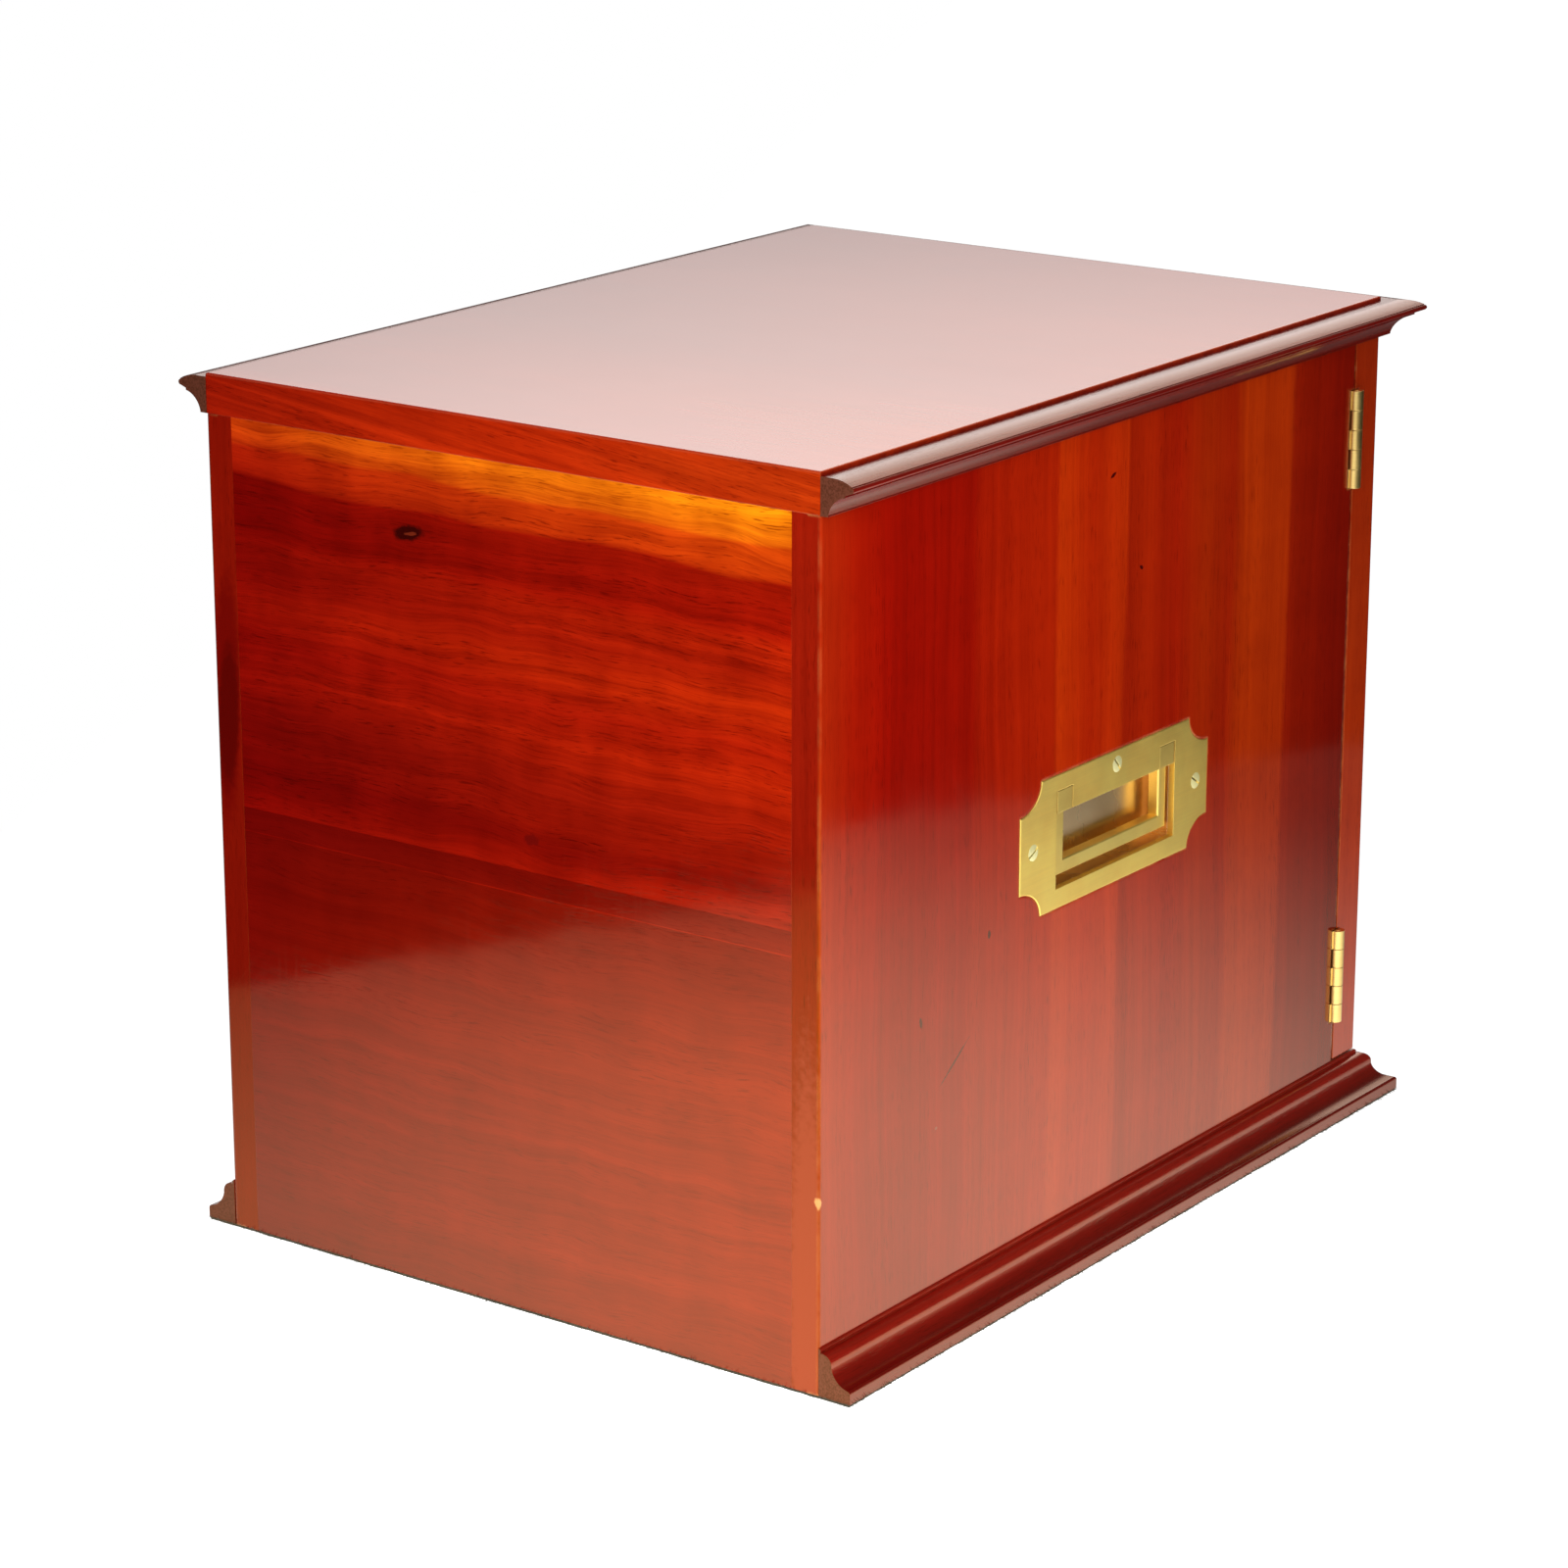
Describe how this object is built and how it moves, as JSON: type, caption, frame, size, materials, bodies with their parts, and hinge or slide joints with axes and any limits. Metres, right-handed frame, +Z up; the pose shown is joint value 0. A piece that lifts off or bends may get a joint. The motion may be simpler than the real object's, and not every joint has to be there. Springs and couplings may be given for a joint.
{
  "type": "table-top display cabinet",
  "caption": "Mahogany table-top display cabinet with a glazed front door on butt hinges, moulded cornice and base, and flush brass carrying handles.",
  "frame": {"origin": "middle of the carcass's plan, on the underside of the baize", "axes": "+Z up, the door faces -Y, +X to the right of a person facing the door"},
  "size_m": [0.292, 0.3855, 0.323],
  "materials": {
    "mahogany_top": "polished",
    "mahogany_side": "polished",
    "mahogany_back": "polished",
    "mahogany_inner": "satin",
    "mahogany_moulding": "polished",
    "mahogany_door": "polished",
    "mahogany_door_rail": "polished",
    "window_glass": "clear",
    "brass_plate": "satin",
    "brass_pan": "polished",
    "brass_bail": "polished",
    "brass_screw": "polished",
    "brass_hinge": "polished",
    "brass_polished": "polished",
    "magnet": "bright",
    "steel": "bright",
    "baize": "napped"
  },
  "bodies": {
    "case": {"top_board": "mahogany_top", "left_side": "mahogany_side", "right_side": "mahogany_side", "back_panel": "mahogany_back", "bottom_board": "mahogany_inner", "plinth_rail": "mahogany_inner", "base_baize": "baize", "cornice_left": "mahogany_moulding", "cornice_right": "mahogany_moulding", "cornice_front": "mahogany_moulding", "base_moulding_left": "mahogany_moulding", "base_moulding_right": "mahogany_moulding", "base_moulding_front": "mahogany_moulding", "catch_magnet": "magnet", "hinge_case_leaf_upper": "brass_hinge", "hinge_case_leaf_lower": "brass_hinge", "hinge_pin_upper": "brass_hinge", "hinge_pin_lower": "brass_hinge", "hinge_case_screws": "brass_screw", "handle_plate_left": "brass_plate", "handle_plate_right": "brass_plate", "handle_pan_left": "brass_pan", "handle_pan_right": "brass_pan", "handle_pins_left": "brass_screw", "handle_pins_right": "brass_screw", "handle_screws": "brass_screw"},
    "door": {"door_left_stile": "mahogany_door", "door_right_stile": "mahogany_door", "door_top_rail": "mahogany_door_rail", "door_bottom_rail": "mahogany_door_rail", "door_glass": "window_glass", "glazing_bead_left": "mahogany_door", "glazing_bead_right": "mahogany_door", "glazing_bead_top": "mahogany_door_rail", "glazing_bead_bottom": "mahogany_door_rail", "door_knob": "brass_polished", "catch_strike": "steel", "catch_strike_screw": "steel", "hinge_door_leaf_upper": "brass_hinge", "hinge_door_leaf_lower": "brass_hinge", "hinge_door_screws": "brass_screw"},
    "left_bail": {"handle_bail_left": "brass_bail"},
    "right_bail": {"handle_bail_right": "brass_bail"}
  },
  "joints": [
    {"name": "door_swing", "type": "hinge", "parent": "case", "child": "door", "pos_m": [-0.1336, -0.1665, 0.16335], "axis": [0, 0, -1], "range_deg": [0, 175]},
    {"name": "left_bail_swing", "type": "hinge", "parent": "case", "child": "left_bail", "pos_m": [-0.1292, 0, 0.1764], "axis": [0, 1, 0], "range_deg": [0, 90]},
    {"name": "right_bail_swing", "type": "hinge", "parent": "case", "child": "right_bail", "pos_m": [0.1292, 0, 0.1764], "axis": [0, -1, 0], "range_deg": [0, 90]}
  ]
}
